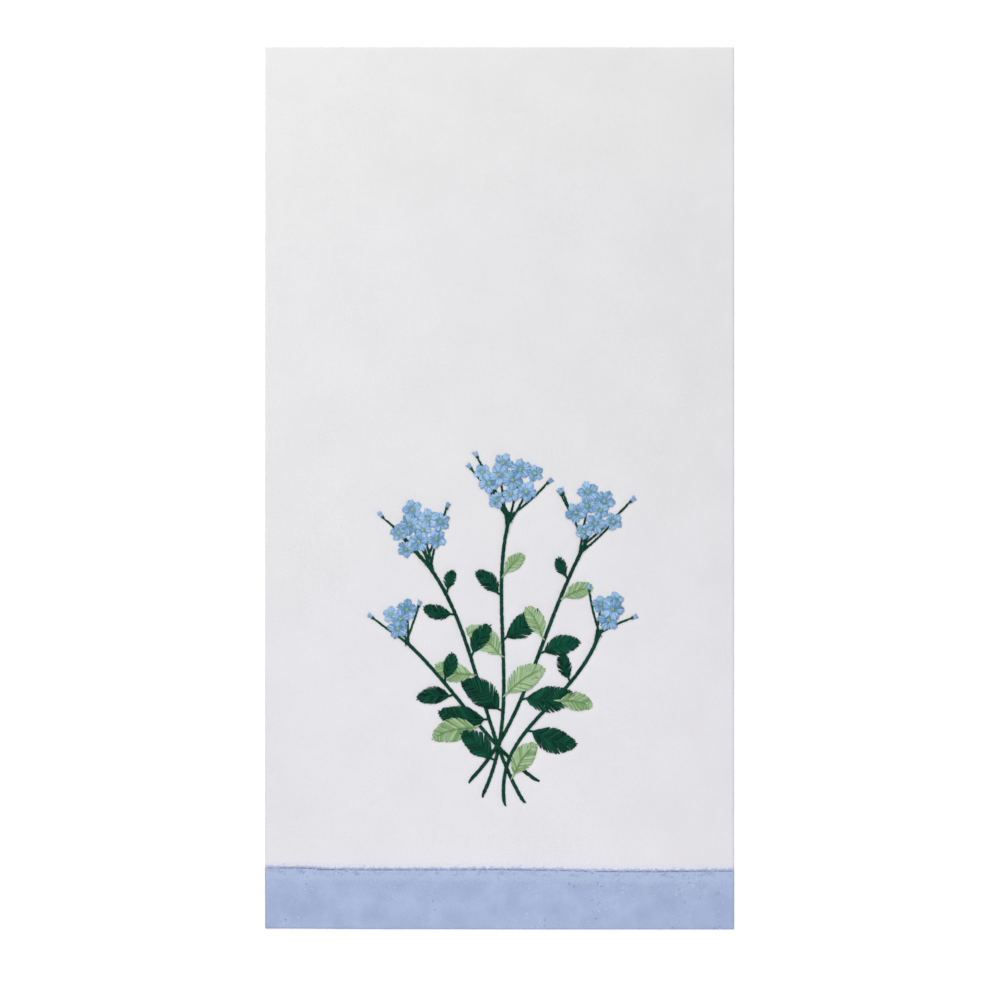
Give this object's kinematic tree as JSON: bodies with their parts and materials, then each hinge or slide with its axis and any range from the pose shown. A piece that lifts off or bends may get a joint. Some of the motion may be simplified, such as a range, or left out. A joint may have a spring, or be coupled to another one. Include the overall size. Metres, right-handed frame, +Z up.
{
  "type": "hand towel",
  "caption": "Flat white cotton velour hand towel with an embroidered flower sprig and a blue border band sewn along its lower end, for drying hands.",
  "frame": {"origin": "on the surface that the towel lies on, under the middle of its outline", "axes": "+Z up out of the towel's face, +Y along its length towards the plain end, +X across its width"},
  "size_m": [0.406, 0.764, 0.0035],
  "materials": {
    "white_velour": "white cotton velour, sheared pile, matt",
    "blue_velour": "pale blue cotton velour, sheared pile, matt",
    "blue_thread": "mid blue stranded cotton thread, soft sheen",
    "dark_green_thread": "dark green stranded cotton thread, soft sheen",
    "light_green_thread": "light green stranded cotton thread, soft sheen"
  },
  "bodies": {
    "root": {"towel_body": "white_velour", "border_band": "blue_velour"}
  },
  "joints": []
}
